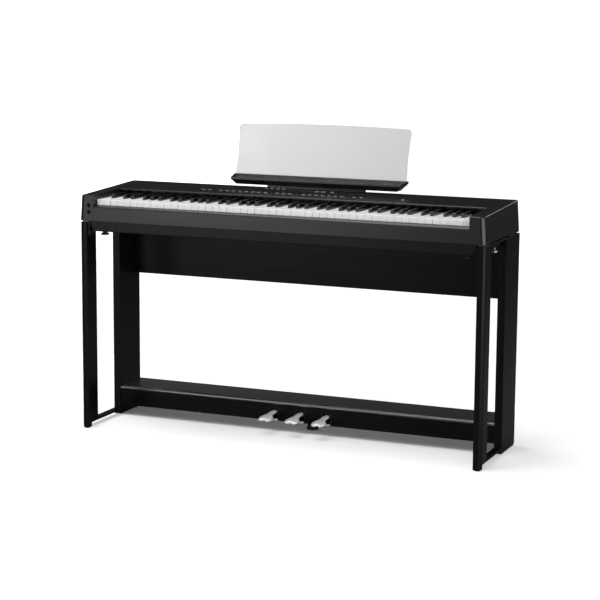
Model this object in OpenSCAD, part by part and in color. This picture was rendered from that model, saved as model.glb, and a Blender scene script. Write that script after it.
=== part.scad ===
// Digital piano on a fixed wooden stand, in millimetres.
// X runs along the keyboard, low notes at -X. The player sits at -Y. Z is up and the floor is Z = 0.

/* [Case] */
// Width of the case at its bottom edge
case_w = 1328; // [1318:2:1340]
// How much the ends and the back of the case lean in towards the top
case_lean = 5; // [2:0.5:8]
// Depth of the case from the front of the key slip to the back
case_d = 357; // [350:1:364]
// Height of the lower edge of the case above the floor
case_base_z = 669; // [666:0.5:672]
// Height of the case top above the floor, measured under the panel lip
case_top_z = 757; // [755:0.5:759]
// Rise of the case top for each millimetre towards the back
top_rise = 0.045; // [0.03:0.005:0.06]
// Depth of the tray that hangs under the case
belly_drop = 34; // [28:1:36]

/* [Keys] */
// Width of one white key with its gap
key_pitch = 23.571; // [23.4:0.001:23.6]
// Gap between two neighbouring keys
key_gap = 1; // [0.8:0.1:1.4]
// Height of the white key tops above the floor
key_top_z = 735; // [733:0.5:736]
// Length of the wide head of a white key
key_head = 51; // [48:0.5:53]
// Height of the black keys above the white ones
black_rise = 12; // [11:0.5:12.5]
// Distance from the front of a white key to its pivot
key_reach = 224; // [210:1:230]

/* [Stand] */
// Thickness of each side frame
frame_t = 24; // [20:1:26]
// Depth of a front post
front_post_d = 61; // [50:0.5:65]
// Depth of a rear post
rear_post_d = 139; // [130:0.5:150]
// Depth of a side frame from front to back
frame_d = 352; // [348:1:354]
// Height of the lower edge of the back panel
back_panel_z = 464; // [440:2:480]
// Height of the top of the pedal shelf
shelf_z = 99; // [92:1:106]

/* [Pedals] */
// Distance between two pedals
pedal_pitch = 90; // [80:1:95]
// Width of a pedal at its tip
pedal_tip_w = 44; // [40:1:50]
// Distance from the pedal pivot to the front of the pedal
pedal_reach = 138; // [128:1:142]

/* [Music rest] */
// Width of the ledge
ledge_w = 596; // [594:1:620]
// Height of the clear panel along its slope
rest_h = 184; // [170:1:196]
// Lean of the clear panel from upright, in degrees
rest_lean = 13; // [11:0.5:15]

/* [Hidden] */
$fn = 48;
eps = 0.02;
big = 3000;

front_y = -177.5;
rear_y = front_y + case_d;
top_angle = atan(top_rise);
case_r_front = 14;
case_r_rear = 12;
case_edge_r = 3.5;
wall = 3;

bed_half = 614;
panel_half = 620;
panel_front_y = -3;
panel_rear_y = 168;
panel_t = 3;
lip_r = 3.4;
recess_ledge = 8;
cavity_half = 655;
cavity_rear_y = 170;
top_skin = 8;

slip_back_y = -157;
slip_top_z = 717.5;
slip_r = 9;

key_front_y = -154;
key_w = key_pitch - key_gap;
keys_half = 26 * key_pitch;
pivot_y = key_front_y + key_reach;
pivot_z = 722;
pivot_r = 2;
running = 0.08;
key_rear_y = pivot_y + 10;
key_under_z = 720;
key_heel_z = 714;
key_lip_z = 718;
felt_z = 705;
key_frame_rear_y = 95;
key_frame_t = 4;
black_w = 11;
black_half_top = 4.7;
black_slope = 7;
notch_half = black_w / 2 + key_gap;
head_back_y = key_front_y + key_head;
first_c = 2;

belly_half_top = 636;
belly_half_bottom = 620;
belly_front_y = -165;
belly_rear_y = 159;
belly_z = case_base_z - belly_drop;
belly_rise = 10;
speaker_x = 420;
speaker_y = -20;

frame_out = case_w / 2;
frame_in = frame_out - frame_t;
frame_front_y = -174.5;
frame_rear_y = frame_front_y + frame_d;
frame_top_z = case_base_z - 5;
frame_foot_z = 3;
window_front_y = frame_front_y + front_post_d;
window_rear_y = frame_rear_y - rear_post_d;
window_low_z = 22;
window_high_z = 650;
rail_under_z = 659;
rail_block_y = -38;
rail_low_z = 16;
post_r = 12;
front_foot_d = 20;
glide_r = 9;
glide_ys = [-164, 60, 158];
thumb_x = 650;
thumb_y = -42;
thumb_disc_z = 631;
thumb_disc_r = 11.5;
thumb_disc_t = 6;
thumb_reach = 33;
thumb_gap = 0.3;
case_foot_x = 597;
case_foot_ys = [-132, 110];
case_foot_r = 12.5;
case_foot_z = 622;
case_foot_t = 5.5;
case_foot_neck_r = 8;

board_t = 15;
back_panel_y = 128.5;
back_panel_top_z = 640;
shelf_bottom_z = 33;
shelf_front_y = window_rear_y;
front_board_y = shelf_front_y + 5;
rear_board_y = frame_rear_y - board_t;
screw_r = 3;
screw_head_r = 6;
screw_head_t = 3;
screw_grip = 32;
panel_screw_spots = [[136, 603], [136, 487]];
pedal_screw_spots = [[169.5, 57], [48.5, 57], [100, 91.5]];
rail_screw_spot = [-131, 38];

pedal_t = 9;
pedal_top_z = 66;
pedal_drop = 11.5;
pedal_bend_y = 45;
pedal_slot_z = 73;
pedal_boss_r = 8;
pedal_pivot_y = 97;
pedal_pivot_z = pedal_top_z - pedal_t / 2;
pedal_tip_y = pedal_pivot_y - pedal_reach;
pedal_lobe_r = 13;
pedal_arm_w = 19;
pedal_rod_r = 4;
pedal_base_t = 3;
foot_x = 15;
foot_y = 115;
foot_pin_r = 5;

ledge_rear_y = 194;
ledge_front_y = 144;
ledge_top_z = 802;
ledge_fall = 8;
ledge_lip = 6.5;
ledge_under_z = 772;
rest_t = 3;
rest_w = 590;
rest_sunk = 12;
rest_foot_y = 188;
rest_rear_y = rest_foot_y + (rest_h - rest_sunk) * sin(rest_lean) + rest_t * cos(rest_lean);
tongue_x = 130;
tongue_y = 156;
tongue_w = 20;
tongue_t = 4;
ledge_block_y = 152;
ledge_block_rear_y = 170;
ledge_block_half = 165;

// The case is drawn about its own middle, then moved so that Y = 0 is the middle of the whole piano.
y_shift = -(front_y + rest_rear_y) / 2;

button_w = 13;
button_d = 6;
button_proud = 1.8;
button_depth = 7;
row_y = 50;
upper_row_y = 139;
song_row_y = 121;
volume_xs = [-340, -319];
tone_xs = [for (i = [0:7]) -279.5 + i * 22.1];
function_xs = [for (i = [0:2]) -85 + i * 21.4];
style_xs = [for (i = [0:6]) 3.4 + i * 21.4];
page_xs = [172, 196];
mode_xs = [for (i = [0:3]) -160.7 + i * 19.8];
song_xs = [19.8, 41.8];
record_x = 72;
power_x = 330.6;
lower_row_xs = concat(volume_xs, tone_xs, function_xs, style_xs, page_xs);
display_x = -43.5;
display_w = 93;
display_d = 17;

jack_x = -630;
jack_zs = [718, 696.6];
jack_r = 3.25;
jack_body_r = 6.5;
board_z = 676;
circuit_t = 1.6;
socket_z = board_z + 12;
line_xs = [180, 215];
line_r = 6.4;
inlet_x = 320;
inlet_r = 4.9;

// ---------- shared helpers ----------

function top_z(y) = case_top_z + top_rise * y;

// Draws its children in the frame of the whole piano.
module placed() {
    translate([0, y_shift, 0]) children();
}

// Sweeps an outline drawn in X and Z along Y.
module along_y(y0, y1) {
    translate([0, y1, 0]) rotate([90, 0, 0]) linear_extrude(height = y1 - y0) children();
}

// Sweeps an outline drawn in Y and Z along X.
module along_x(x0, x1) {
    translate([x0, 0, 0]) rotate([90, 0, 90]) linear_extrude(height = x1 - x0) children();
}

module block(x0, x1, y0, y1, z0, z1) {
    translate([x0, y0, z0]) cube([x1 - x0, y1 - y0, z1 - z0]);
}

module rod_x(x0, x1, y, z, r) {
    translate([x0, y, z]) rotate([0, 90, 0]) cylinder(r = r, h = x1 - x0);
}

module rod_y(y0, y1, x, z, r) {
    translate([x, y0, z]) rotate([-90, 0, 0]) cylinder(r = r, h = y1 - y0);
}

// Keeps its children for the right side and mirrors them for the left.
module on_side(side) {
    mirror([side < 0 ? 1 : 0, 0, 0]) children();
}

// Local frame on the sloping top, with its Z = 0 on the surface.
module on_top(x, y) {
    translate([x, y, top_z(y)]) rotate([top_angle, 0, 0]) children();
}

module slot_outline(w, d) {
    square([w - d, d], center = true);
    for (s = [-1, 1]) translate([s * (w - d) / 2, 0]) circle(d = d);
}

// ---------- case ----------

module case_corner(side, y, lean_x, lean_y, r) {
    x = side * (case_w / 2 - r);
    translate([x, y, case_base_z]) cylinder(r = r, h = eps, $fn = 32);
    x_top = x - side * lean_x;
    y_top = y - lean_y;
    for (i = [0:5]) {
        a = 90 * i / 5;
        translate([x_top, y_top, top_z(y_top)]) rotate([top_angle, 0, 0])
            translate([0, 0, -eps - case_edge_r * (1 - sin(a))])
                cylinder(r = r - case_edge_r * (1 - cos(a)), h = eps, $fn = 32);
    }
}

module case_solid() {
    hull() {
        for (side = [-1, 1]) {
            case_corner(side, front_y + case_r_front, case_lean, 0, case_r_front);
            case_corner(side, rear_y - case_r_rear, case_lean, case_lean, case_r_rear);
        }
    }
}

module keybed_space() {
    block(-bed_half, bed_half, front_y - 1, panel_front_y + eps, case_base_z - 1, case_top_z + 30);
}

module top_cavity() {
    along_x(-cavity_half, cavity_half) polygon([
        [panel_front_y, case_base_z - 1],
        [cavity_rear_y, case_base_z - 1],
        [cavity_rear_y, top_z(cavity_rear_y) - top_skin],
        [panel_front_y, top_z(panel_front_y) - top_skin]
    ]);
}

module panel_recess() {
    along_x(-panel_half, panel_half) polygon([
        [panel_front_y - 10, top_z(panel_front_y - 10) - panel_t],
        [panel_rear_y, top_z(panel_rear_y) - panel_t],
        [panel_rear_y, top_z(panel_rear_y) + 5],
        [panel_front_y - 10, top_z(panel_front_y - 10) + 5]
    ]);
    along_x(-panel_half + recess_ledge, panel_half - recess_ledge) polygon([
        [panel_front_y - 10, case_top_z - 20],
        [panel_rear_y - recess_ledge, case_top_z - 20],
        [panel_rear_y - recess_ledge, top_z(panel_rear_y)],
        [panel_front_y - 10, case_top_z]
    ]);
}

module rear_socket_cuts() {
    for (x = line_xs) rod_y(cavity_rear_y - 1, rear_y + 1, x, socket_z, line_r + 0.1);
    rod_y(cavity_rear_y - 1, rear_y + 1, inlet_x, socket_z, inlet_r + 0.1);
    block(243, 267, cavity_rear_y - 1, rear_y + 1, board_z + 5, board_z + 19);
    block(284, 300, cavity_rear_y - 1, rear_y + 1, board_z + 6, board_z + 18);
}

module upper_case() {
    color([0.08, 0.08, 0.085]) placed() difference() {
        case_solid();
        keybed_space();
        top_cavity();
        panel_recess();
        for (side = [-1, 1]) {
            x_mid = side * (bed_half + 20);
            block(x_mid - 13, x_mid + 13, front_y + 8, -60, case_base_z - 1, 735);
            translate([side * thumb_x, thumb_y, case_base_z - 1]) cylinder(r = screw_r + running, h = 17);
        }
        for (z = jack_zs) rod_y(front_y - 1, front_y + 9, jack_x, z, jack_body_r);
        rear_socket_cuts();
    }
}

module button_holes() {
    for (x = lower_row_xs) on_top(x, row_y) button_hole(button_w, button_d);
    for (x = mode_xs) on_top(x, upper_row_y) button_hole(button_w, button_d);
    for (x = song_xs) on_top(x, song_row_y) button_hole(button_w + 5, button_d + 1);
    on_top(record_x, song_row_y) button_hole(button_w, button_d);
    on_top(power_x, row_y) button_hole(button_d * 2, button_d * 2 - eps);
}

module button_hole(w, d) {
    translate([0, 0, -panel_t - 1]) linear_extrude(height = panel_t + 2) slot_outline(w + 0.8, d + 0.8);
}

module control_panel() {
    front = panel_front_y;
    rear = panel_rear_y - 0.3;
    half = panel_half - 0.3;
    lip_half = panel_half - recess_ledge - 0.3;
    color([0.07, 0.07, 0.075]) placed() difference() {
        union() {
            along_x(-half, half) polygon([
                [front, top_z(front) - panel_t],
                [rear, top_z(rear) - panel_t],
                [rear, top_z(rear)],
                [front, top_z(front)]
            ]);
            rod_x(-lip_half, lip_half, front, top_z(front) - lip_r, lip_r);
            along_x(-lip_half, lip_half) polygon([
                [front, top_z(front) - 2 * lip_r],
                [front + 3, top_z(front) - 2 * lip_r],
                [front + 3, top_z(front + 3) - 1],
                [front, top_z(front) - 1]
            ]);
        }
        button_holes();
        on_top(display_x, upper_row_y) cube([display_w, display_d, 4 * panel_t], center = true);
        for (s = [-1, 1]) on_top(s * tongue_x, tongue_y)
            cube([tongue_w + 0.6, tongue_t + 0.6, 3 * panel_t], center = true);
    }
}

module display_window() {
    color([0.02, 0.03, 0.04]) placed() on_top(display_x, upper_row_y)
        translate([0, 0, -1.5]) cube([display_w - 0.2, display_d - 0.2, panel_t], center = true);
}

module belly_outline(inset) {
    polygon([
        [-belly_half_top + inset, case_base_z],
        [belly_half_top - inset, case_base_z],
        [belly_half_bottom - inset, belly_z + inset],
        [-belly_half_bottom + inset, belly_z + inset]
    ]);
}

module belly_profile(inset) {
    polygon([
        [belly_front_y + inset, case_base_z + (inset > 0 ? 1 : 0)],
        [belly_rear_y - inset, case_base_z + (inset > 0 ? 1 : 0)],
        [belly_rear_y - inset - 1, belly_z + belly_rise + inset],
        [belly_front_y + 4 + inset, belly_z + inset],
        [belly_front_y + 2 + inset, belly_z + 3 + inset]
    ]);
}

module belly_block(inset) {
    intersection() {
        along_y(-big / 2, big / 2) belly_outline(inset);
        along_x(-big / 2, big / 2) belly_profile(inset);
    }
}

module bottom_case() {
    rib_xs = [-560, -280, 0, 280, 560];
    flange_t = 3;
    flange_half = cavity_half - 0.5;
    slot_half = 36;
    slot_pitch = 11;
    color([0.05, 0.05, 0.055]) placed() difference() {
        union() {
            difference() {
                belly_block(0);
                translate([0, 0, eps]) belly_block(wall);
            }
            intersection() {
                belly_block(0);
                for (x = rib_xs) block(x - 1.5, x + 1.5, belly_front_y, belly_rear_y, belly_z, case_base_z);
            }
            block(-flange_half, flange_half, key_frame_rear_y + 2, cavity_rear_y - 0.5,
                case_base_z, case_base_z + flange_t);
            for (side = [-1, 1]) on_side(side)
                block(633, flange_half, panel_front_y + 1, key_frame_rear_y + 2,
                    case_base_z, case_base_z + flange_t);
        }
        for (side = [-1, 1])
            for (row = [-3:3])
                block(side * speaker_x - slot_half, side * speaker_x + slot_half,
                    speaker_y + row * slot_pitch - 2, speaker_y + row * slot_pitch + 2,
                    belly_z - 1, belly_z + 12);
    }
}

module key_slip() {
    color([0.08, 0.08, 0.085]) placed() along_x(-bed_half, bed_half) {
        polygon([
            [front_y, case_base_z],
            [slip_back_y, case_base_z],
            [slip_back_y, slip_top_z],
            [front_y + slip_r, slip_top_z],
            [front_y + slip_r, slip_top_z - slip_r],
            [front_y, slip_top_z - slip_r]
        ]);
        intersection() {
            translate([front_y + slip_r, slip_top_z - slip_r]) circle(r = slip_r);
            translate([front_y, slip_top_z - slip_r]) square([slip_r, slip_r]);
        }
    }
}

// ---------- keyboard ----------

module key_frame() {
    half = bed_half - 2;
    stop_y = -147;
    end_wall_x = 620;
    color([0.55, 0.56, 0.58]) placed() difference() {
        union() {
            block(-half, half, slip_back_y + 1, key_frame_rear_y, case_base_z, case_base_z + key_frame_t);
            block(-half, half, stop_y, stop_y + 16, case_base_z + key_frame_t, felt_z);
            block(-half, half, key_frame_rear_y - 11, key_frame_rear_y - 3, case_base_z + key_frame_t, 740);
            for (side = [-1, 1]) on_side(side) {
                block(end_wall_x - 4, end_wall_x + 4, pivot_y - 10, key_frame_rear_y - 3,
                    case_base_z + key_frame_t, pivot_z + 12);
                block(half - 0.5, end_wall_x + 2.5, pivot_y - 10, key_frame_rear_y - 3,
                    case_base_z + key_frame_t, case_base_z + key_frame_t + 3);
            }
        }
        rod_x(-big / 2, big / 2, pivot_y, pivot_z, pivot_r);
    }
}

module key_felt() {
    color([0.45, 0.05, 0.06]) placed() {
        block(-bed_half + 3, bed_half - 3, -146, -132, felt_z, felt_z + 4);
        block(-bed_half + 3, bed_half - 3, 24, 34, case_base_z + key_frame_t, case_base_z + key_frame_t + 8);
    }
}

module key_pivot_rod() {
    color("silver") placed() rod_x(-624, 624, pivot_y, pivot_z, pivot_r);
}

// Middle of each black key in an octave, from the left edge of its C.
function black_middle(n) =
    n == 0 ? key_pitch - 2.3 :
    n == 1 ? 2 * key_pitch + 2.3 :
    n == 2 ? 4 * key_pitch - 3.4 :
    n == 3 ? 5 * key_pitch : 6 * key_pitch + 3.4;

// Black key on the left and on the right of each white key, or -1 for none.
function black_left(n) = n == 1 ? 0 : n == 2 ? 1 : n == 4 ? 2 : n == 5 ? 3 : n == 6 ? 4 : -1;
function black_right(n) = n == 0 ? 0 : n == 1 ? 1 : n == 3 ? 2 : n == 4 ? 3 : n == 5 ? 4 : -1;

function octave_x(octave) = -keys_half + (first_c + 7 * (octave - 1)) * key_pitch;

module white_profile() {
    polygon([
        [key_front_y, key_lip_z],
        [key_front_y, key_top_z],
        [key_rear_y, key_top_z],
        [key_rear_y, key_heel_z],
        [pivot_y - 12, key_heel_z],
        [pivot_y - 30, key_under_z],
        [key_front_y + 3, key_under_z],
        [key_front_y + 3, key_lip_z]
    ]);
}

module key_notch(x0, x1) {
    block(x0, x1, head_back_y, key_rear_y + 1, key_heel_z - 1, key_top_z + 1);
}

// Octave 1 starts at the lowest C. A key at the end of the keyboard has no notch on its outer side.
module white_key(octave, n) {
    start = octave_x(octave);
    left = start + n * key_pitch + key_gap / 2;
    right = left + key_w;
    notched_left = black_left(n) >= 0 && !(octave == 0 && n == 5);
    notched_right = black_right(n) >= 0 && octave < 8;
    tail_left = notched_left ? start + black_middle(black_left(n)) + notch_half : left;
    tail_right = notched_right ? start + black_middle(black_right(n)) - notch_half : right;
    placed() difference() {
        along_x(left, right) white_profile();
        if (notched_left) key_notch(left - 1, tail_left);
        if (notched_right) key_notch(tail_right, right + 1);
        rod_x(left - 1, right + 1, pivot_y, pivot_z, pivot_r + running);
    }
}

module black_profile() {
    top = key_top_z + black_rise;
    polygon([
        [head_back_y + 1, key_under_z],
        [head_back_y + 1, key_top_z - 1],
        [head_back_y + black_slope, top],
        [panel_front_y - 5, top + 0.6],
        [panel_front_y + 2, key_top_z + 3],
        [key_rear_y, key_top_z],
        [key_rear_y, key_heel_z],
        [pivot_y - 12, key_heel_z],
        [pivot_y - 30, key_under_z]
    ]);
}

module black_key(octave, n) {
    middle = octave_x(octave) + black_middle(n);
    top = key_top_z + black_rise + 1;
    placed() difference() {
        intersection() {
            along_x(middle - black_w, middle + black_w) black_profile();
            along_y(head_back_y, key_rear_y) polygon([
                [middle - black_w / 2, key_heel_z],
                [middle - black_w / 2, key_top_z],
                [middle - black_half_top, top],
                [middle + black_half_top, top],
                [middle + black_w / 2, key_top_z],
                [middle + black_w / 2, key_heel_z]
            ]);
        }
        rod_x(middle - black_w, middle + black_w, pivot_y, pivot_z, pivot_r + running);
    }
}

module ivory() {
    color([0.95, 0.95, 0.93]) children();
}

module ebony() {
    color([0.05, 0.05, 0.05]) children();
}

module white_keys_low() {
    ivory() {
        for (n = [5, 6]) white_key(0, n);
        for (octave = [1:3]) for (n = [0:6]) white_key(octave, n);
    }
}

module black_keys_low() {
    ebony() {
        black_key(0, 4);
        for (octave = [1:3]) for (n = [0:4]) black_key(octave, n);
    }
}

module white_keys_high() {
    ivory() {
        for (octave = [5:7]) for (n = [0:6]) white_key(octave, n);
        white_key(8, 0);
    }
}

module black_keys_high() {
    ebony() for (octave = [5:7]) for (n = [0:4]) black_key(octave, n);
}

module key_c4() { ivory() white_key(4, 0); }
module key_d4() { ivory() white_key(4, 1); }
module key_e4() { ivory() white_key(4, 2); }
module key_f4() { ivory() white_key(4, 3); }
module key_g4() { ivory() white_key(4, 4); }
module key_a4() { ivory() white_key(4, 5); }
module key_b4() { ivory() white_key(4, 6); }
module key_c_sharp4() { ebony() black_key(4, 0); }
module key_d_sharp4() { ebony() black_key(4, 1); }
module key_f_sharp4() { ebony() black_key(4, 2); }
module key_g_sharp4() { ebony() black_key(4, 3); }
module key_a_sharp4() { ebony() black_key(4, 4); }

// ---------- buttons ----------

module button_cap(w, d) {
    translate([0, 0, -button_depth]) linear_extrude(height = button_depth + button_proud) slot_outline(w, d);
}

module cap_row(xs, y, w, d) {
    color([0.3, 0.3, 0.31]) placed() for (x = xs) on_top(x, y) button_cap(w, d);
}

module volume_buttons() { cap_row(volume_xs, row_y, button_w, button_d); }
module tone_buttons() { cap_row(tone_xs, row_y, button_w, button_d); }
module function_buttons() { cap_row(function_xs, row_y, button_w, button_d); }
module style_buttons() { cap_row(concat(style_xs, page_xs), row_y, button_w, button_d); }
module mode_buttons() { cap_row(mode_xs, upper_row_y, button_w, button_d); }

module song_buttons() {
    cap_row(song_xs, song_row_y, button_w + 5, button_d + 1);
    cap_row([record_x], song_row_y, button_w, button_d);
}

module power_button() {
    color([0.3, 0.3, 0.31]) placed() on_top(power_x, row_y)
        translate([0, 0, -button_depth]) cylinder(d = button_d * 2, h = button_depth + button_proud);
}

// ---------- electronics ----------

module panel_board() {
    drop = 13;
    color([0.05, 0.3, 0.15]) placed() {
        on_top(0, 85) translate([-355, -50, -drop]) cube([705, 66, circuit_t]);
        for (x = concat(lower_row_xs, [power_x])) on_top(x, row_y)
            translate([0, 0, -drop + circuit_t]) cylinder(r = 2.5, h = 2);
    }
}

module main_board() {
    color([0.05, 0.32, 0.16]) placed() {
        block(150, 345, 101, cavity_rear_y - 2, board_z, board_z + circuit_t);
        block(200, 228, 110, 138, board_z + circuit_t, board_z + 4);
        for (x = [160, 300]) for (y = [106, 160])
            translate([x, y, case_base_z + 3]) cylinder(r = 3, h = board_z - case_base_z - 3);
        for (i = [0:3]) translate([250 + 12 * i, 120, board_z + circuit_t]) cylinder(r = 4, h = 10);
    }
}

module socket_barrel(x, z, r_out, r_in, y0, y1) {
    difference() {
        rod_y(y0, y1, x, z, r_out);
        rod_y(y0 + 3, y1 + 1, x, z, r_in);
    }
}

module rear_sockets() {
    y1 = 178;
    color([0.12, 0.12, 0.12]) placed() {
        for (x = line_xs) {
            socket_barrel(x, socket_z, line_r, jack_r, 146, y1);
            block(x - 7, x + 7, 140, cavity_rear_y - 1, board_z + circuit_t, socket_z - line_r - 0.1);
        }
        difference() {
            block(243.2, 266.8, 150, y1, board_z + 5.2, board_z + 18.8);
            block(247, 263, 160, y1 + 1, board_z + 8, board_z + 16);
        }
        difference() {
            block(284.2, 299.8, 150, y1, board_z + 6.2, board_z + 17.8);
            block(286, 298, 160, y1 + 1, board_z + 9, board_z + 13.6);
        }
        socket_barrel(inlet_x, socket_z, inlet_r, 2.75, 158, y1);
    }
}

module headphone_sockets() {
    color([0.15, 0.15, 0.16]) placed() for (z = jack_zs) {
        difference() {
            union() {
                rod_y(front_y - 0.6, front_y + 9, jack_x, z, jack_body_r - 0.1);
                block(jack_x - 9, jack_x + 9, front_y + 9, front_y + 42, z - 8, z + 8);
            }
            rod_y(front_y - 2, front_y + 34, jack_x, z, jack_r);
        }
    }
}

module speakers() {
    floor_z = belly_z + 15;
    rim_r = 50;
    cone_r = 44;
    magnet_r = 20;
    depth = 16;
    color([0.1, 0.1, 0.1]) placed() for (side = [-1, 1])
        translate([side * speaker_x, speaker_y, floor_z]) rotate_extrude() polygon([
            [0, 4],
            [14, 4],
            [cone_r - 4, 0],
            [rim_r, 0],
            [rim_r, 2],
            [cone_r, 2],
            [magnet_r, depth - 2],
            [magnet_r, depth],
            [0, depth]
        ]);
}

// ---------- stand ----------

module post_plan(side) {
    translate([side > 0 ? frame_in : -frame_out, frame_front_y + post_r])
        square([frame_t, front_post_d - post_r]);
    translate([side > 0 ? frame_in : -frame_out + post_r, frame_front_y])
        square([frame_t - post_r, post_r + eps]);
    translate([side * (frame_out - post_r), frame_front_y + post_r]) circle(r = post_r);
}

module screw_sink(side, y, z) {
    on_side(side) rod_x(frame_out - screw_head_t, frame_out + 1, y, z, screw_head_r);
}

module screw_hole(side, y, z) {
    on_side(side) rod_x(frame_in - 1, frame_out + 1, y, z, screw_r);
    screw_sink(side, y, z);
}

module side_frame(side) {
    x0 = side > 0 ? frame_in : -frame_out;
    x1 = x0 + frame_t;
    color([0.06, 0.06, 0.065]) placed() difference() {
        union() {
            translate([0, 0, frame_foot_z])
                linear_extrude(height = frame_top_z - frame_foot_z) post_plan(side);
            along_x(x0, x1) polygon([
                [window_rear_y, frame_foot_z],
                [frame_rear_y - 6, frame_foot_z],
                [frame_rear_y, frame_foot_z + 6],
                [frame_rear_y, frame_top_z],
                [window_rear_y, frame_top_z]
            ]);
            block(x0, x1, window_front_y, rail_block_y, window_high_z, frame_top_z);
            block(x0, x1, rail_block_y, window_rear_y, rail_under_z, frame_top_z);
            block(x0, x1, window_front_y, window_rear_y, rail_low_z, window_low_z);
        }
        block(x0 - 1, x1 + 1, frame_front_y + front_foot_d, window_front_y + 1, 0, rail_low_z);
        for (spot = panel_screw_spots) screw_hole(side, spot[0], spot[1]);
        for (spot = pedal_screw_spots) screw_hole(side, spot[0], spot[1]);
        screw_sink(side, rail_screw_spot[0], rail_screw_spot[1]);
        translate([side * thumb_x, thumb_y, window_high_z - 1]) cylinder(r = screw_r + running, h = 40);
    }
}

module left_side_frame() { side_frame(-1); }
module right_side_frame() { side_frame(1); }

module end_screw_bores(spots) {
    for (side = [-1, 1]) for (spot = spots)
        on_side(side) rod_x(frame_in - screw_grip, frame_in + 1, spot[0], spot[1], screw_r);
}

module back_panel() {
    color([0.05, 0.05, 0.055]) placed() difference() {
        block(-frame_in, frame_in, back_panel_y, back_panel_y + board_t, back_panel_z, back_panel_top_z);
        end_screw_bores(panel_screw_spots);
    }
}

module pedal_shelf() {
    nose = board_t / 2;
    color([0.06, 0.06, 0.065]) placed() difference() {
        union() {
            block(-frame_in, frame_in, shelf_front_y + nose, frame_rear_y, shelf_z - board_t, shelf_z);
            rod_x(-frame_in, frame_in, shelf_front_y + nose, shelf_z - nose, nose);
        }
        end_screw_bores(pedal_screw_spots);
    }
}

module pedal_front_board() {
    color([0.05, 0.05, 0.055]) placed() difference() {
        block(-frame_in, frame_in, front_board_y, front_board_y + board_t, shelf_bottom_z, shelf_z - board_t);
        for (i = [-1:1])
            block(i * pedal_pitch - 18, i * pedal_pitch + 18, front_board_y - 1, front_board_y + board_t + 1,
                shelf_bottom_z - 1, pedal_slot_z + 3);
        end_screw_bores(pedal_screw_spots);
    }
}

module pedal_rear_board() {
    color([0.05, 0.05, 0.055]) placed() difference() {
        block(-frame_in, frame_in, rear_board_y, frame_rear_y, shelf_bottom_z, shelf_z - board_t);
        end_screw_bores(pedal_screw_spots);
    }
}

module pedal_bezels() {
    color([0.03, 0.03, 0.03]) placed() for (i = [-1:1]) difference() {
        block(i * pedal_pitch - 17.9, i * pedal_pitch + 17.9, front_board_y - 2, front_board_y + board_t,
            shelf_bottom_z, pedal_slot_z + 2.9);
        block(i * pedal_pitch - 13, i * pedal_pitch + 13, front_board_y - 3, front_board_y + board_t + 1,
            shelf_bottom_z - 1, pedal_slot_z);
    }
}

module pedal_base() {
    half = 150;
    y0 = front_board_y + board_t;
    ear_z = pedal_pivot_z + 11;
    color([0.5, 0.5, 0.52]) placed() difference() {
        union() {
            block(-half, half, y0, rear_board_y, shelf_bottom_z, shelf_bottom_z + pedal_base_t);
            for (i = [-1:1]) for (s = [-1, 1])
                block(i * pedal_pitch + s * 24 - 1.5, i * pedal_pitch + s * 24 + 1.5,
                    pedal_pivot_y - 12, pedal_pivot_y + 12, shelf_bottom_z, ear_z);
            translate([foot_x, foot_y, shelf_bottom_z]) cylinder(r = foot_pin_r + 4, h = 16);
        }
        rod_x(-half, half, pedal_pivot_y, pedal_pivot_z, pedal_rod_r);
        translate([foot_x, foot_y, shelf_bottom_z - 1]) cylinder(r = foot_pin_r + running, h = 20);
    }
}

module pedal_rod() {
    color("silver") placed() rod_x(-125, 125, pedal_pivot_y, pedal_pivot_z, pedal_rod_r);
}

module pedal_springs() {
    turns = 5;
    wire = 1.6;
    spring_x = 13;
    spring_pitch = wire + 0.2;
    color([0.6, 0.6, 0.62]) placed() for (i = [-1:1]) for (k = [0:turns - 1])
        translate([i * pedal_pitch + spring_x + k * spring_pitch, pedal_pivot_y, pedal_pivot_z]) rotate([0, 90, 0])
            rotate_extrude() translate([pedal_rod_r + wire, 0]) circle(d = wire, $fn = 16);
}

// Half of the outline on one side, from the widest part of the tip back to the end of the arm.
function pedal_side(s) = [
    [s * pedal_tip_w * 0.497, pedal_tip_y + pedal_lobe_r + 2],
    [s * pedal_tip_w * 0.46, pedal_tip_y + pedal_lobe_r + 12],
    [s * pedal_arm_w / 2, pedal_tip_y + 62],
    [s * pedal_arm_w / 2, pedal_pivot_y + pedal_boss_r]
];

module pedal_plan() {
    lobe_x = pedal_tip_w / 2 - pedal_lobe_r;
    for (s = [-1, 1]) translate([s * lobe_x, pedal_tip_y + pedal_lobe_r]) circle(r = pedal_lobe_r);
    left = pedal_side(-1);
    polygon(concat(pedal_side(1), [for (i = [len(left) - 1:-1:0]) left[i]]));
    translate([-lobe_x, pedal_tip_y + 4]) square([2 * lobe_x, pedal_lobe_r]);
}

// Height that the pedal has lost at one place in front of its bend.
function pedal_droop(y) = pedal_drop * pow((pedal_bend_y - y) / (pedal_bend_y - pedal_tip_y), 1.6);

// Side view of a pedal: level over its pivot, then curved down to the tip.
module pedal_profile() {
    steps = 6;
    ys = [for (i = [0:steps]) pedal_bend_y + i * (pedal_tip_y - 1 - pedal_bend_y) / steps];
    top = [for (y = ys) [y, pedal_top_z - pedal_droop(y)]];
    bottom = [for (i = [steps:-1:0]) [ys[i], top[i][1] - pedal_t + 3 * i / steps]];
    back = pedal_pivot_y + pedal_boss_r;
    polygon(concat([[back, pedal_top_z]], top, bottom, [[back, pedal_top_z - pedal_t]]));
}

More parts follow.
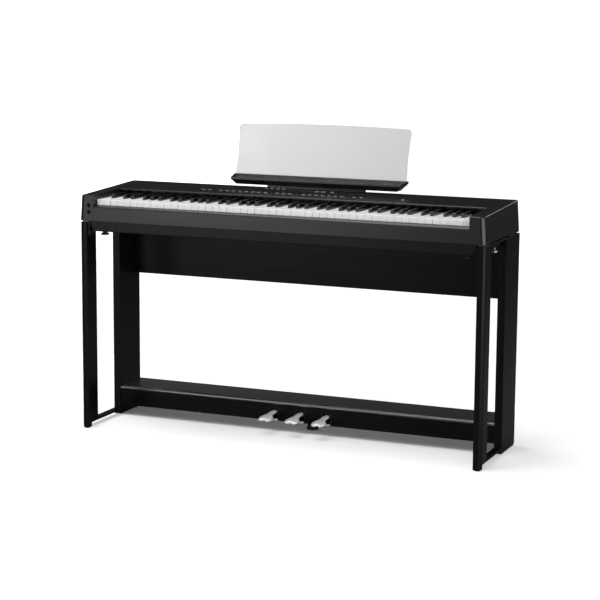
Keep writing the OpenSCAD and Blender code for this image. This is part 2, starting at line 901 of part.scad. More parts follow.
module pedal(i) {
    color([0.8, 0.8, 0.8]) placed() translate([i * pedal_pitch, 0, 0]) difference() {
        union() {
            intersection() {
                linear_extrude(height = shelf_z) pedal_plan();
                along_x(-pedal_pitch / 2, pedal_pitch / 2) pedal_profile();
            }
            rod_x(-pedal_arm_w / 2, pedal_arm_w / 2, pedal_pivot_y, pedal_pivot_z, pedal_boss_r);
        }
        rod_x(-pedal_pitch / 2, pedal_pitch / 2, pedal_pivot_y, pedal_pivot_z, pedal_rod_r + running);
    }
}

module left_pedal() { pedal(-1); }
module middle_pedal() { pedal(0); }
module right_pedal() { pedal(1); }

module adjuster_foot() {
    knob_r = 19;
    knob_h = 18;
    color([0.05, 0.05, 0.05]) placed() translate([foot_x, foot_y, 0]) {
        cylinder(r = knob_r, h = knob_h - 14);
        translate([0, 0, knob_h - 14]) cylinder(r1 = knob_r, r2 = knob_r - 3, h = 14);
        translate([0, 0, knob_h]) cylinder(r = foot_pin_r, h = 30);
    }
}

module floor_glides() {
    color([0.04, 0.04, 0.04]) placed() for (side = [-1, 1]) for (y = glide_ys)
        translate([side * (frame_in + frame_t / 2), y, 0]) cylinder(r = glide_r, h = frame_foot_z);
}

module bracket_spots() {
    for (side = [-1, 1]) for (y = [-145, 110]) translate([side * frame_in, y, 0]) on_side(side) children();
}

module frame_brackets() {
    metal = 2;
    half = 18;
    drop = 44;
    screw_z = frame_top_z - 32;
    color([0.45, 0.45, 0.47]) placed() bracket_spots() {
        difference() {
            union() {
                block(-metal, 0, -half, half, frame_top_z - drop, frame_top_z + metal);
                block(-metal, frame_t - 4, -half, half, frame_top_z, frame_top_z + metal);
            }
            for (y = [-10, 10]) rod_x(-metal - 1, 1, y, screw_z, 2.6);
        }
        for (y = [-10, 10]) rod_x(-metal - 2, -metal, y, screw_z, 4.5);
    }
}

// Four feet under the case, for use without the stand.
module case_feet() {
    color([0.05, 0.05, 0.05]) placed() difference() {
        for (side = [-1, 1]) for (y = case_foot_ys) translate([side * case_foot_x, y, case_foot_z]) {
            cylinder(r = case_foot_r, h = case_foot_t);
            translate([0, 0, case_foot_t]) cylinder(r = case_foot_neck_r, h = belly_drop);
        }
        belly_block(0);
    }
}

module case_pads() {
    color([0.03, 0.03, 0.03]) placed() bracket_spots()
        block(1, 19, -15, 15, frame_top_z + 2, case_base_z);
}

module socket_screw(side, y, z) {
    on_side(side) difference() {
        union() {
            rod_x(frame_out - screw_head_t, frame_out, y, z, screw_head_r);
            rod_x(frame_in - screw_grip + 2, frame_out - screw_head_t, y, z, screw_r);
        }
        translate([frame_out - 2, y, z]) rotate([0, 90, 0]) cylinder(r = 2.4, h = 3, $fn = 6);
    }
}

module panel_screws() {
    color([0.2, 0.2, 0.21]) placed() for (side = [-1, 1]) for (spot = panel_screw_spots)
        socket_screw(side, spot[0], spot[1]);
}

module pedal_board_screws() {
    color([0.2, 0.2, 0.21]) placed() for (side = [-1, 1]) {
        for (spot = pedal_screw_spots) socket_screw(side, spot[0], spot[1]);
        on_side(side)
            rod_x(frame_out - screw_head_t, frame_out, rail_screw_spot[0], rail_screw_spot[1], screw_head_r);
    }
}

module thumb_screw(side) {
    color([0.35, 0.35, 0.36]) placed() translate([side * thumb_x, thumb_y, 0]) {
        translate([0, 0, thumb_disc_z]) cylinder(r = thumb_disc_r, h = thumb_disc_t);
        translate([0, 0, thumb_disc_z + thumb_disc_t])
            cylinder(r1 = 4, r2 = 5.5, h = window_high_z - thumb_gap - thumb_disc_z - thumb_disc_t);
        translate([0, 0, window_high_z - thumb_gap]) cylinder(r = screw_r, h = thumb_reach);
    }
}

module left_thumb_screw() { thumb_screw(-1); }
module right_thumb_screw() { thumb_screw(1); }

// ---------- music rest ----------

// Frame of the clear panel: its Z runs up the slope and its Y = 0 is the front face.
module on_rest() {
    translate([0, rest_foot_y, ledge_top_z - 3]) rotate([-rest_lean, 0, 0]) children();
}

module music_ledge() {
    half = ledge_w / 2;
    front_top = ledge_top_z - ledge_fall;
    color([0.07, 0.07, 0.075]) placed() difference() {
        union() {
            hull() {
                along_x(-half, half) polygon([
                    [ledge_rear_y, ledge_top_z], [ledge_rear_y, ledge_top_z - ledge_lip],
                    [ledge_rear_y - 1, ledge_top_z - ledge_lip], [ledge_rear_y - 1, ledge_top_z]
                ]);
                along_x(-half + 8, half - 8) polygon([
                    [ledge_front_y, front_top], [ledge_front_y, front_top - ledge_lip],
                    [ledge_front_y + 1, front_top - ledge_lip], [ledge_front_y + 1, front_top]
                ]);
                block(-half + 24, half - 24, ledge_block_y, ledge_rear_y - 2,
                    ledge_under_z, ledge_under_z + 1);
            }
            along_x(-ledge_block_half, ledge_block_half) polygon([
                [ledge_block_y, ledge_under_z + 1],
                [ledge_block_y, top_z(ledge_block_y) + 0.1],
                [ledge_block_rear_y, top_z(ledge_block_rear_y) + 0.1],
                [ledge_block_rear_y, ledge_under_z + 1]
            ]);
            for (s = [-1, 1]) on_top(s * tongue_x, tongue_y)
                translate([-tongue_w / 2, -tongue_t / 2, -9]) cube([tongue_w, tongue_t, 10]);
        }
        on_rest() translate([-rest_w / 2 - 0.5, -0.1, -rest_sunk]) cube([rest_w + 1, rest_t + 0.2, 60]);
    }
}

// Outline of the clear panel: slightly waisted sides, round top corners and a gently crowned top.
module rest_outline() {
    half = rest_w / 2;
    waist = 4;
    corner = 14;
    crown = 5;
    steps = 24;
    side_points = [for (i = [0:12]) let (t = i / 12)
        [half - waist * sin(180 * t), t * (rest_h - corner - crown)]];
    corner_points = [for (i = [1:8]) let (a = 90 * i / 8)
        [half - corner + corner * cos(a), rest_h - corner - crown + corner * sin(a)]];
    top_points = [for (i = [1:steps - 1]) let (t = 1 - 2 * i / steps)
        [(half - corner) * t, rest_h - crown * t * t]];
    right = concat(side_points, corner_points);
    left = [for (i = [len(right) - 1:-1:0]) [-right[i][0], right[i][1]]];
    polygon(concat(right, top_points, left));
}

module music_panel() {
    color([0.9, 0.92, 0.93, 0.7]) placed() on_rest() translate([0, rest_t, -rest_sunk])
        rotate([90, 0, 0]) linear_extrude(height = rest_t) rest_outline();
}

upper_case();
control_panel();
bottom_case();
key_slip();
key_felt();
key_frame();
key_pivot_rod();
display_window();
main_board();
panel_board();
speakers();
headphone_sockets();
rear_sockets();
left_side_frame();
right_side_frame();
back_panel();
pedal_shelf();
pedal_front_board();
pedal_rear_board();
pedal_base();
pedal_rod();
pedal_springs();
pedal_bezels();
floor_glides();
case_pads();
case_feet();
frame_brackets();
panel_screws();
pedal_board_screws();
music_ledge();
music_panel();
left_pedal();
middle_pedal();
right_pedal();
adjuster_foot();
left_thumb_screw();
right_thumb_screw();
power_button();
volume_buttons();
tone_buttons();
function_buttons();
style_buttons();
mode_buttons();
song_buttons();
key_c4();
key_d4();
key_e4();
key_f4();
key_g4();
key_a4();
key_b4();
key_c_sharp4();
key_d_sharp4();
key_f_sharp4();
key_g_sharp4();
key_a_sharp4();
white_keys_low();
black_keys_low();
white_keys_high();
black_keys_high();
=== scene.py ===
"""Looks of the digital piano on its stand: camera, studio light, materials and the detailed pieces."""
import math

import bmesh
import bpy
from mathutils import Matrix, Vector


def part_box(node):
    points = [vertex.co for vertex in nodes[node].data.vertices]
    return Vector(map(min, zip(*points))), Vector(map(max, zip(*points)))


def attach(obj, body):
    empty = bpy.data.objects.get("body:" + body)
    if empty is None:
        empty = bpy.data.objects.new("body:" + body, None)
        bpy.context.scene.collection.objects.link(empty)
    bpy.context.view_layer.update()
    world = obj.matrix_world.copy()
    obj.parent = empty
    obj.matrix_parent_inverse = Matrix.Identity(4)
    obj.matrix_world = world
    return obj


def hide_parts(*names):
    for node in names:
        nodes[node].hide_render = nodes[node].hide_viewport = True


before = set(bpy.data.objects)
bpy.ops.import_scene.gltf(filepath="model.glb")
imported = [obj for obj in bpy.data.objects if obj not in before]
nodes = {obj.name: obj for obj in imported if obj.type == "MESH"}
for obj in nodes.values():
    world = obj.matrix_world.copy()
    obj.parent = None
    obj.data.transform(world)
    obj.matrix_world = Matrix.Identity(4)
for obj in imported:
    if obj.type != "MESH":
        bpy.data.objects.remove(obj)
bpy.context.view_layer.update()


def mm(value):
    return value / 1000


# ---------- camera ----------

# The place in metres, and the lens in millimetres on a sensor 36 mm wide.
CAMERA_AT = Vector((2.1634, -5.1436, 1.3716))
CAMERA_YAW = math.radians(22.77)
CAMERA_PITCH = math.radians(-9.56)
CAMERA_ROLL = math.radians(0.42)
CAMERA_LENS = 108.66
CAMERA_SENSOR = 36
CAMERA_SEES_TO = 100


def add_camera():
    forward = Vector((
        -math.sin(CAMERA_YAW) * math.cos(CAMERA_PITCH),
        math.cos(CAMERA_YAW) * math.cos(CAMERA_PITCH),
        math.sin(CAMERA_PITCH),
    ))
    level_right = Vector((math.cos(CAMERA_YAW), math.sin(CAMERA_YAW), 0))
    level_up = level_right.cross(forward)
    right = level_right * math.cos(CAMERA_ROLL) + level_up * math.sin(CAMERA_ROLL)
    up = right.cross(forward)
    data = bpy.data.cameras.new("camera")
    data.lens = CAMERA_LENS
    data.sensor_width = CAMERA_SENSOR
    data.clip_end = CAMERA_SEES_TO
    camera = bpy.data.objects.new("camera", data)
    turn = Matrix((right, up, -forward)).transposed()
    camera.matrix_world = Matrix.Translation(CAMERA_AT) @ turn.to_4x4()
    bpy.context.scene.collection.objects.link(camera)
    bpy.context.scene.camera = camera


# ---------- stage and light ----------

# The floor is a disc about the middle of the piano whose rim curves up, in metres.
FLOOR_RADIUS = 9.0
RIM_HEIGHT = 1.75
RIM_BEND = 0.6
RIM_STEPS = 8
FLOOR_SIDES = 96

# How pale the floor is to the lens, and in reflections and bounced light.
FLOOR_TO_LENS = 0.85
FLOOR_IN_GLOSS = 0.16

# The floor's own glow: near the piano, far away, and far away on the left, where less light falls.
GLOW_NEAR = 0.42
GLOW_FAR = 1.05
GLOW_FAR_LEFT = 2.1
NEAR_TO_FAR = (1.5, 4.5)
LEFT_TO_MIDDLE = (-4.4, -2.4)

# The share of the glow that is left under the pedal box, which paints a shadow on the floor there, and
# how softly that painted shadow ends, in metres.
PAINTED_SHADOW_GLOW = 0.15
SHADE_FRONT = (-0.01, 0.015)
SHADE_SOFT = 0.02

# The share of the glow that the rim keeps in reflections, and the distances at which it comes in.
RIM_IN_GLOSS = 0.06
FLAT_TO_RIM = (6.5, 8.0)

# Name, place, point that it faces, width and height, in metres, and power in watts. The right panel gives
# the case corner its bright line, and the light behind does so for the top edge of the right end.
LIGHTS = (
    ("overhead", (-0.5, -0.4, 3.4), (0, 0, 0.4), 3.4, 2.2, 140),
    ("front_high", (-1.2, -2.9, 2.4), (0, -0.1, 0.7), 3.2, 2.0, 26),
    ("front_left", (-2.45, -4.9, 0.7), (-0.1, 0, 0.5), 2.0, 1.2, 42),
    ("right_panel", (2.9, -1.2, 0.35), (0.65, -0.15, 0.35), 3.8, 1.1, 80),
    ("behind_right", (1.8, 4.2, 2.2), (0.66, 0, 0.75), 1.6, 0.9, 18),
)
WORLD_LIGHT = 0.03


def mesh_object(name, bm):
    """Turns a finished bmesh into a smooth object in the scene."""
    mesh = bpy.data.meshes.new(name)
    bm.to_mesh(mesh)
    bm.free()
    for face in mesh.polygons:
        face.use_smooth = True
    obj = bpy.data.objects.new(name, mesh)
    bpy.context.scene.collection.objects.link(obj)
    return obj


def ramp(tree, value, limits, low, high):
    """Goes smoothly from low to high while value passes between two limits, and is held outside them."""
    node = tree.nodes.new("ShaderNodeMapRange")
    node.interpolation_type = "SMOOTHSTEP"
    node.inputs["From Min"].default_value = limits[0]
    node.inputs["From Max"].default_value = limits[1]
    node.inputs["To Min"].default_value = low
    node.inputs["To Max"].default_value = high
    tree.links.new(value, node.inputs["Value"])
    return node.outputs["Result"]


def combine(tree, operation, a, b):
    node = tree.nodes.new("ShaderNodeMath")
    node.operation = operation
    tree.links.new(a, node.inputs[0])
    tree.links.new(b, node.inputs[1])
    return node.outputs["Value"]


def painted_shadow_under_box(tree, axes):
    """A painted shadow: 1 on the open floor, and the small share of the glow that is left under the box
    within the outline of the pedal box.
    """
    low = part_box("pedal_front_board")[0]
    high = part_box("pedal_rear_board")[1]
    inside = ramp(tree, axes.outputs["Y"], [low.y + edge for edge in SHADE_FRONT], 0, 1)
    for axis, limits, start, end in (
        ("Y", (high.y, high.y + SHADE_SOFT), 1, 0),
        ("X", (high.x, high.x + SHADE_SOFT), 1, 0),
        ("X", (low.x - SHADE_SOFT, low.x), 0, 1),
    ):
        inside = combine(tree, "MULTIPLY", inside, ramp(tree, axes.outputs[axis], limits, start, end))
    return ramp(tree, inside, (0, 1), 1, PAINTED_SHADOW_GLOW)


def floor_glow(tree, seen):
    """Strength of the floor's own glow, by place on the floor, cut down under the pedal box to paint a
    shadow there.
    """
    place = tree.nodes.new("ShaderNodeTexCoord").outputs["Object"]
    axes = tree.nodes.new("ShaderNodeSeparateXYZ")
    tree.links.new(place, axes.inputs["Vector"])
    length = tree.nodes.new("ShaderNodeVectorMath")
    length.operation = "LENGTH"
    tree.links.new(place, length.inputs[0])
    distance = length.outputs["Value"]
    blend = tree.nodes.new("ShaderNodeMix")
    blend.inputs["A"].default_value = GLOW_NEAR
    tree.links.new(ramp(tree, distance, NEAR_TO_FAR, 0, 1), blend.inputs["Factor"])
    far = ramp(tree, axes.outputs["X"], LEFT_TO_MIDDLE, GLOW_FAR_LEFT, GLOW_FAR)
    tree.links.new(far, blend.inputs["B"])
    shown = combine(tree, "MAXIMUM", seen, ramp(tree, distance, FLAT_TO_RIM, 0, RIM_IN_GLOSS))
    glow = combine(tree, "MULTIPLY", blend.outputs["Result"], shown)
    # Less glow under the pedal box paints a shadow on the floor there.
    return combine(tree, "MULTIPLY", glow, painted_shadow_under_box(tree, axes))


def stage_material():
    """Pale floor, bright to the lens and dull in reflections, as a lit sweep behind black goods is."""
    mat = bpy.data.materials.new("floor_pale")
    mat.use_nodes = True
    tree = mat.node_tree
    shader = tree.nodes["Principled BSDF"]
    shader.inputs["Roughness"].default_value = 0.5
    shader.inputs["Specular IOR Level"].default_value = 0.3
    shader.inputs["Emission Color"].default_value = (1, 1, 1, 1)
    path = tree.nodes.new("ShaderNodeLightPath")
    seen = combine(tree, "MAXIMUM", path.outputs["Is Camera Ray"], path.outputs["Is Transmission Ray"])
    tone = tree.nodes.new("ShaderNodeMix")
    tone.data_type = "RGBA"
    tone.inputs["A"].default_value = (*grey(FLOOR_IN_GLOSS), 1)
    tone.inputs["B"].default_value = (*grey(FLOOR_TO_LENS), 1)
    tree.links.new(seen, tone.inputs["Factor"])
    tree.links.new(tone.outputs["Result"], shader.inputs["Base Color"])
    tree.links.new(floor_glow(tree, seen), shader.inputs["Emission Strength"])
    return mat


def floor_profile():
    """Points from the middle of the floor out and up its rim, as (distance, height)."""
    yield 0.0, 0.0
    yield FLOOR_RADIUS / 2, 0.0
    for i in range(RIM_STEPS + 1):
        angle = math.radians(90) * i / RIM_STEPS
        yield (
            FLOOR_RADIUS - RIM_BEND + RIM_BEND * math.sin(angle),
            RIM_BEND - RIM_BEND * math.cos(angle),
        )
    yield FLOOR_RADIUS, RIM_HEIGHT


def add_floor():
    """A round pale floor whose rim curves up all the way round, with no corner to be seen."""
    bm = bmesh.new()
    turns = [2 * math.pi * k / FLOOR_SIDES for k in range(FLOOR_SIDES)]
    rings = [
        [bm.verts.new((distance * math.cos(a), distance * math.sin(a), height)) for a in turns]
        for distance, height in floor_profile()
    ]
    for inner, outer in zip(rings, rings[1:]):
        for k in range(FLOOR_SIDES):
            nxt = (k + 1) % FLOOR_SIDES
            bm.faces.new((inner[k], outer[k], outer[nxt], inner[nxt]))
    bmesh.ops.remove_doubles(bm, verts=bm.verts, dist=1e-5)
    floor = mesh_object("floor", bm)
    floor.data.materials.append(stage_material())


def add_area_light(name, at, towards, width, height, power):
    data = bpy.data.lights.new(name, "AREA")
    data.shape = "RECTANGLE"
    data.size = width
    data.size_y = height
    data.energy = power
    light = bpy.data.objects.new(name, data)
    aim = (Vector(towards) - Vector(at)).to_track_quat("-Z", "Y")
    light.matrix_world = Matrix.Translation(at) @ aim.to_matrix().to_4x4()
    light.visible_camera = False
    bpy.context.scene.collection.objects.link(light)


def add_lights():
    for row in LIGHTS:
        add_area_light(*row)
    world = bpy.data.worlds.new("studio")
    bpy.context.scene.world = world
    world.use_nodes = True
    background = world.node_tree.nodes["Background"]
    background.inputs["Color"].default_value = (1, 1, 1, 1)
    background.inputs["Strength"].default_value = WORLD_LIGHT
    bpy.context.scene.view_settings.view_transform = "Standard"


# ---------- materials ----------

# Noise stays mostly between these two values, so colours and roughness are spread between them.
NOISE_LOW = 0.3
NOISE_HIGH = 0.7


def grey(level):
    return (level, level, level)


class Shader:
    """One material, with small helpers that wire its procedural detail."""

    def __init__(self, name, base, roughness, metallic=0.0, specular=0.5):
        self.mat = bpy.data.materials.new(name)
        self.mat.use_nodes = True
        self.tree = self.mat.node_tree
        self.bsdf = self.tree.nodes["Principled BSDF"]
        self.bsdf.inputs["Base Color"].default_value = (*base, 1)
        self.bsdf.inputs["Roughness"].default_value = roughness
        self.bsdf.inputs["Metallic"].default_value = metallic
        self.bsdf.inputs["Specular IOR Level"].default_value = specular
        self.coords = self.tree.nodes.new("ShaderNodeTexCoord")
        self.last_bump = None

    def link(self, a, b):
        self.tree.links.new(a, b)

    def set(self, socket, value):
        """Sets one constant socket of the shader. Like the helpers below, it can be chained."""
        self.bsdf.inputs[socket].default_value = value
        return self

    def stretched(self, scale):
        """The piece's own coordinates, in metres, with their axes scaled one by one."""
        mapping = self.tree.nodes.new("ShaderNodeMapping")
        mapping.inputs["Scale"].default_value = scale
        self.link(self.coords.outputs["Object"], mapping.inputs["Vector"])
        return mapping.outputs["Vector"]

    def noise(self, scale, detail=3.0, stretch=(1, 1, 1), distortion=0.0):
        tex = self.tree.nodes.new("ShaderNodeTexNoise")
        tex.inputs["Scale"].default_value = scale
        tex.inputs["Detail"].default_value = detail
        tex.inputs["Distortion"].default_value = distortion
        self.link(self.stretched(stretch), tex.inputs["Vector"])
        return tex.outputs["Fac"]

    def cells(self, scale, stretch=(1, 1, 1)):
        tex = self.tree.nodes.new("ShaderNodeTexVoronoi")
        tex.inputs["Scale"].default_value = scale
        self.link(self.stretched(stretch), tex.inputs["Vector"])
        return tex.outputs["Distance"]

    def colours(self, factor, dark, light, low=NOISE_LOW, high=NOISE_HIGH):
        """Base colour from dark to light while the factor goes from low to high."""
        blend = self.tree.nodes.new("ShaderNodeValToRGB")
        for element, place, colour in zip(blend.color_ramp.elements, (low, high), (dark, light)):
            element.position = place
            element.color = (*colour, 1)
        self.link(factor, blend.inputs["Fac"])
        self.link(blend.outputs["Color"], self.bsdf.inputs["Base Color"])
        return self

    def rough(self, factor, low, high):
        """Roughness from low to high by the factor."""
        scale = self.tree.nodes.new("ShaderNodeMapRange")
        scale.inputs["From Min"].default_value = NOISE_LOW
        scale.inputs["From Max"].default_value = NOISE_HIGH
        scale.inputs["To Min"].default_value = low
        scale.inputs["To Max"].default_value = high
        self.link(factor, scale.inputs["Value"])
        self.link(scale.outputs["Result"], self.bsdf.inputs["Roughness"])
        return self

    def bump(self, factor, strength, depth):
        """Fine relief, as deep as depth in metres, on top of any relief given before."""
        node = self.tree.nodes.new("ShaderNodeBump")
        node.inputs["Strength"].default_value = strength
        node.inputs["Distance"].default_value = depth
        self.link(factor, node.inputs["Height"])
        if self.last_bump:
            self.link(self.last_bump.outputs["Normal"], node.inputs["Normal"])
        self.link(node.outputs["Normal"], self.bsdf.inputs["Normal"])
        self.last_bump = node
        return self


def case_paint():
    s = Shader("case_paint", grey(0.006), 0.3, specular=0.35)
    s.colours(s.noise(5, 4), grey(0.003), grey(0.006))
    s.rough(s.noise(9, 5), 0.28, 0.32)
    s.bump(s.noise(1300, 2), 0.10, 0.00012)
    return s.bump(s.noise(14, 2), 0.03, 0.0004).mat


def panel_plastic():
    s = Shader("panel_plastic", grey(0.006), 0.38, specular=0.3)
    s.colours(s.noise(4, 4), grey(0.002), grey(0.005))
    s.rough(s.noise(11, 4), 0.27, 0.30)
    return s.bump(s.cells(1500), 0.08, 0.0001).mat


def grain(along, lengthwise, across):
    """Noise scales for streaks that run along one axis, 0 to 2 for X to Z."""
    return tuple(lengthwise if axis == along else across for axis in range(3))


def laminate(name, along, gloss=0.1, coat=0.0):
    """Black board foil with a fine open grain that runs along one axis."""
    fine = grain(along, 4, 150)
    broad = grain(along, 1.2, 22)
    s = Shader(name, grey(0.012), 0.4, specular=gloss)
    s.colours(s.noise(1, 5, broad, 0.4), grey(0.002), grey(0.005))
    s.rough(s.noise(1, 4, fine), 0.28, 0.40)
    s.set("Coat Weight", coat).set("Coat Roughness", 0.2)
    s.bump(s.noise(1, 6, fine, 0.3), 0.20, 0.00018)
    return s.bump(s.noise(900, 2), 0.06, 0.0001).mat


def white_key_plastic():
    s = Shader("white_key_plastic", (0.80, 0.80, 0.78), 0.24)
    s.set("Coat Weight", 0.25).set("Coat Roughness", 0.12)
    s.set("Subsurface Weight", 0.04).set("Subsurface Radius", (0.004, 0.004, 0.003))
    s.colours(s.noise(7, 3), (0.77, 0.77, 0.75), (0.83, 0.83, 0.81))
    s.rough(s.noise(60, 4), 0.24, 0.27)
    return s.bump(s.noise(500, 2, (1, 0.15, 1)), 0.05, 0.0001).mat


def black_key_plastic():
    s = Shader("black_key_plastic", grey(0.004), 0.2, specular=0.5)
    s.colours(s.noise(30, 3), grey(0.003), grey(0.005))
    s.rough(s.noise(80, 4, (1, 0.2, 1)), 0.16, 0.24)
    return s.bump(s.noise(900, 2, (1, 0.12, 1)), 0.12, 0.00012).mat


def frosted_acrylic():
    s = Shader("frosted_acrylic", (0.52, 0.52, 0.53), 0.3)
    s.set("Transmission Weight", 0.9).set("IOR", 1.49)
    s.rough(s.noise(12, 3), 0.28, 0.36)
    return s.bump(s.noise(1100, 2), 0.12, 0.0001).mat


def display_glass():
    s = Shader("display_glass", (0.004, 0.005, 0.007), 0.08)
    s.set("Coat Weight", 0.6).set("Coat Roughness", 0.04)
    s.rough(s.noise(40, 3), 0.06, 0.12)
    return s.bump(s.noise(25, 2), 0.02, 0.0002).mat


def button_plastic():
    s = Shader("button_plastic", grey(0.16), 0.4)
    s.colours(s.noise(120, 3), grey(0.13), grey(0.19))
    s.rough(s.noise(200, 3), 0.34, 0.48)
    return s.bump(s.cells(2200), 0.12, 0.0001).mat


def nickel():
    s = Shader("nickel", (0.92, 0.92, 0.91), 0.34, metallic=0.25)
    s.set("Coat Weight", 0.3).set("Coat Roughness", 0.1)
    s.colours(s.noise(25, 4), (0.90, 0.90, 0.89), (0.96, 0.96, 0.95))
    s.rough(s.noise(90, 5, (1, 0.2, 1)), 0.28, 0.40)
    return s.bump(s.noise(300, 4, (1, 0.1, 1)), 0.05, 0.0001).mat


def brushed(name, level, low, high, metallic=1.0, along=0):
    stretch = grain(along, 6, 260)
    s = Shader(name, grey(level), low, metallic=metallic)
    s.colours(s.noise(1, 4, stretch), grey(level * 0.8), grey(level * 1.1))
    s.rough(s.noise(1, 3, stretch), low, high)
    return s.bump(s.noise(1, 4, stretch), 0.08, 0.0001).mat


def rubber():
    s = Shader("rubber", grey(0.015), 0.75, specular=0.3)
    s.colours(s.noise(50, 4), grey(0.011), grey(0.022))
    s.rough(s.noise(60, 4), 0.65, 0.85)
    return s.bump(s.noise(700, 4), 0.35, 0.0003).mat


def felt():
    s = Shader("felt", (0.32, 0.02, 0.03), 0.95, specular=0.1)
    s.set("Sheen Weight", 0.6).set("Sheen Roughness", 0.5)
    s.colours(s.noise(300, 6), (0.22, 0.012, 0.02), (0.38, 0.03, 0.04))
    return s.bump(s.noise(900, 6), 0.8, 0.0006).mat


def board_green():
    s = Shader("board_green", (0.01, 0.12, 0.05), 0.4)
    s.colours(s.cells(260, (1, 2.5, 1)), (0.006, 0.07, 0.03), (0.015, 0.16, 0.07), 0.2, 0.4)
    s.rough(s.noise(150, 3), 0.3, 0.5)
    return s.bump(s.cells(260, (1, 2.5, 1)), 0.2, 0.0002).mat


def paper_cone():
    s = Shader("paper_cone", grey(0.03), 0.85, specular=0.2)
    s.colours(s.noise(250, 6), grey(0.02), grey(0.045))
    return s.bump(s.noise(500, 5), 0.5, 0.0004).mat


def frame_plastic():
    s = Shader("frame_plastic", grey(0.18), 0.5)
    s.colours(s.noise(40, 4), grey(0.15), grey(0.21))
    s.rough(s.noise(70, 3), 0.42, 0.58)
    return s.bump(s.cells(1200), 0.15, 0.0001).mat


def socket_plastic():
    s = Shader("socket_plastic", grey(0.008), 0.5, specular=0.2)
    s.colours(s.noise(60, 3), grey(0.005), grey(0.011))
    s.rough(s.noise(90, 3), 0.42, 0.58)
    return s.bump(s.cells(1800), 0.12, 0.0001).mat


# ---------- CAD pieces ----------

# Vertices nearer than this, in metres, are joined. Edges sharper than this angle are rounded.
WELD_WITHIN = 0.00001
SHARP_FROM = math.radians(32)
NORMAL_WEIGHT = 80


def dress(node, mat, edge, segments=3):
    """Gives a CAD node its material, and rounds its sharp edges by edge millimetres."""
    obj = nodes[node]
    for slot in obj.material_slots:
        slot.material = mat
    weld = obj.modifiers.new("weld", "WELD")
    weld.merge_threshold = WELD_WITHIN
    if edge:
        bevel = obj.modifiers.new("bevel", "BEVEL")
        bevel.width = mm(edge)
        bevel.segments = segments
        bevel.limit_method = "ANGLE"
        bevel.angle_limit = SHARP_FROM
        bevel.use_clamp_overlap = False
    normals = obj.modifiers.new("normals", "WEIGHTED_NORMAL")
    normals.keep_sharp = True
    normals.weight = NORMAL_WEIGHT


def dress_keyboard():
    """Keys, single and in groups, and the felt and frame under them."""
    whites = white_key_plastic()
    blacks = black_key_plastic()
    for node in nodes:
        if node.startswith("black_keys") or "sharp" in node:
            dress(node, blacks, 0.8)
        elif node.startswith("white_keys") or (node.startswith("key_") and node.endswith("4")):
            dress(node, whites, 0.8)
    dress("key_felt", felt(), 0.5)
    dress("key_frame", frame_plastic(), 0.6)


def dress_controls():
    caps = button_plastic()
    for node in nodes:
        if node.endswith("_buttons") or node == "power_button":
            dress(node, caps, 0.35)
    dress("display_window", display_glass(), 0.3)


def dress_case():
    paint = case_paint()
    plastic = panel_plastic()
    dress("upper_case", paint, 0.9)
    dress("key_slip", paint, 0.8)
    dress("music_ledge", paint, 1.0)
    dress("control_panel", plastic, 0.3, 2)
    dress("bottom_case", plastic, 0.8)
    dress("music_panel", frosted_acrylic(), 0.8)
    dress("speakers", paper_cone(), 0.4)


def dress_stand():
    upright_board = laminate("laminate_upright", 2)
    long_board = laminate("laminate_long", 0)
    for node in ("left_side_frame", "right_side_frame"):
        dress(node, upright_board, 0.5)
    dress("back_panel", long_board, 1.0)
    for node in ("pedal_front_board", "pedal_rear_board"):
        dress(node, long_board, 0.8)
    dress("pedal_shelf", laminate("laminate_shelf", 0, gloss=1.0, coat=1.0), 0.8)


def dress_hardware():
    """Small parts of metal, rubber, board and plastic, as a material and the edge of each node."""
    steel = brushed("zinc_steel", 0.55, 0.25, 0.42)
    dark_steel = brushed("dark_steel", 0.16, 0.3, 0.45, along=2)
    black_steel = brushed("black_steel", 0.03, 0.35, 0.5, metallic=0.6)
    for mat, edges in (
        (steel, {"key_pivot_rod": 0.2, "pedal_base": 0.5, "pedal_rod": 0.4, "pedal_springs": 0}),
        (dark_steel, {"frame_brackets": 0.3, "left_thumb_screw": 0.5, "right_thumb_screw": 0.5}),
        (black_steel, {"panel_screws": 0.4, "pedal_board_screws": 0.4}),
        (board_green(), {"main_board": 0, "panel_board": 0}),
        (socket_plastic(), {"headphone_sockets": 0.3, "rear_sockets": 0.4, "pedal_bezels": 1.0}),
        (rubber(), {"floor_glides": 0.5, "case_pads": 0.5, "case_feet": 0.5, "adjuster_foot": 0.8}),
    ):
        for node, edge in edges.items():
            dress(node, mat, edge)


# ---------- pedals ----------

# All in millimetres. PEDAL_TOP is above the floor, and TOP_SPARE leaves room there for the arm's crown.
# DROOP_STARTS is measured from the tip, and PEDAL_DROP is how far the tip hangs below the arm.
PEDAL_TOP = 66
PEDAL_DROP = 11.5
DROOP_STARTS = 86
HALF_PLATE = 4
TOP_SPARE = 0.5
PEDAL_MIDDLE = PEDAL_TOP - TOP_SPARE - HALF_PLATE
CROWN_TIP = 2.2
CROWN_ARM = 0.4
HALF_ARM = 9.5
LOBE_RADIUS = 13
NOTCH_DEPTH = 3.2
NOTCH_HALF = 7
ROD_BORE = 4.08
SLEEVE_RADIUS = 8

# Width and thickness at the very tip, as shares of those of the plate.
NOSE_WIDTH = 0.97
NOSE_THICKNESS = 0.02

# Shares of a pedal's length: where its round nose ends, and where its neck starts and how long it is.
NOSE_ENDS = 0.035
NECK_STARTS = 0.10
NECK_LENGTH = 0.34

# Powers that shape the pedal: how boxy its section is across and upwards, how much closer its rings stand
# towards the tip, and how the droop grows.
BOXY_ACROSS = 0.6
BOXY_UP = 0.7
RING_CROWDING = 1.3
DROOP_GROWS = 1.6

PEDAL_STEPS = 44
SECTION_POINTS = 40
SLEEVE_SIDES = 32


def signed_power(value, power):
    return math.copysign(abs(value) ** power, value)


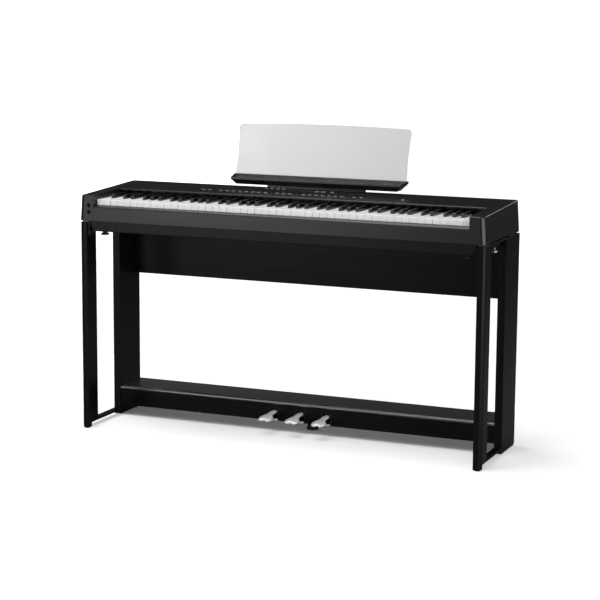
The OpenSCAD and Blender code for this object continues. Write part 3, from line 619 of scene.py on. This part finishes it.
def pedal_section(half, thick, crown):
    """Points round one cross-section, a rounded oblong with a crowned top, as (across, height)."""
    points = []
    for k in range(SECTION_POINTS):
        a = 2 * math.pi * k / SECTION_POINTS
        across = signed_power(math.cos(a), BOXY_ACROSS)
        rise = signed_power(math.sin(a), BOXY_UP)
        height = rise * thick
        if rise > 0:
            height += crown * (1 - across * across) * rise
        points.append((half * across, height))
    return points


def tip_edge(across, half_tip):
    """How far behind the foremost point the tip starts: two round lobes with a notch between them."""
    lobe = mm(LOBE_RADIUS)
    off = min(lobe, abs(abs(across) - (half_tip - lobe)))
    notch = mm(NOTCH_DEPTH) * max(0.0, 1 - abs(across) / mm(NOTCH_HALF)) ** 2
    return lobe - math.sqrt(lobe * lobe - off * off) + notch


def pedal_rings(low, high, mid_x):
    """Rings of one pedal, from its two-lobed tip back along its drooping plate to the end of its arm."""
    half_tip = (high.x - low.x) / 2
    arm_end = high.y - mm(SLEEVE_RADIUS)
    rings = []
    for i in range(PEDAL_STEPS + 1):
        s = (i / PEDAL_STEPS) ** RING_CROWDING
        neck = min(1.0, max(0.0, (s - NECK_STARTS) / NECK_LENGTH))
        neck = neck * neck * (3 - 2 * neck)
        half = half_tip + (mm(HALF_ARM) - half_tip) * neck
        nose = math.sqrt(1 - (1 - min(1.0, s / NOSE_ENDS)) ** 2)
        crown = mm(CROWN_ARM + (CROWN_TIP - CROWN_ARM) * (1 - neck))
        half *= NOSE_WIDTH + (1 - NOSE_WIDTH) * nose
        section = pedal_section(half, mm(HALF_PLATE) * max(nose, NOSE_THICKNESS), crown * nose)
        ring = []
        for across, height in section:
            front = low.y + tip_edge(across, half_tip)
            y = front + (arm_end - front) * s
            bent = max(0.0, low.y + mm(DROOP_STARTS) - y) / mm(DROOP_STARTS)
            droop = PEDAL_DROP * bent ** DROOP_GROWS
            ring.append((mid_x + across, y, mm(PEDAL_MIDDLE - droop) + height))
        rings.append(ring)
    return rings


def bridge(bm, a, b):
    """Joins two rings of as many points by a band of faces."""
    for k in range(len(a)):
        nxt = (k + 1) % len(a)
        bm.faces.new((a[k], a[nxt], b[nxt], b[k]))


def add_sleeve(bm, mid_x, y, z):
    """A short tube round the pedal rod."""
    inner, outer, half = mm(ROD_BORE), mm(SLEEVE_RADIUS), mm(HALF_ARM)
    rings = []
    for x, r in ((-half, inner), (-half, outer), (half, outer), (half, inner)):
        ring = []
        for k in range(SLEEVE_SIDES):
            a = 2 * math.pi * k / SLEEVE_SIDES
            ring.append(bm.verts.new((mid_x + x, y + r * math.cos(a), z + r * math.sin(a))))
        rings.append(ring)
    for i, ring in enumerate(rings):
        bridge(bm, ring, rings[(i + 1) % len(rings)])


def add_pedal(node, mat):
    low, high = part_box(node)
    mid_x = (low.x + high.x) / 2
    bm = bmesh.new()
    rings = [[bm.verts.new(p) for p in ring] for ring in pedal_rings(low, high, mid_x)]
    for a, b in zip(rings, rings[1:]):
        bridge(bm, a, b)
    bm.faces.new(rings[0])
    bm.faces.new(list(reversed(rings[-1])))
    add_sleeve(bm, mid_x, high.y - mm(SLEEVE_RADIUS), mm(PEDAL_MIDDLE))
    bmesh.ops.recalc_face_normals(bm, faces=bm.faces)
    plate = mesh_object(node + "_plate", bm)
    plate.data.materials.append(mat)
    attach(plate, node)
    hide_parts(node)


# ---------- build ----------

add_camera()
add_floor()
add_lights()
dress_keyboard()
dress_controls()
dress_case()
dress_stand()
dress_hardware()
pedal_metal = nickel()
for pedal in ("left_pedal", "middle_pedal", "right_pedal"):
    add_pedal(pedal, pedal_metal)
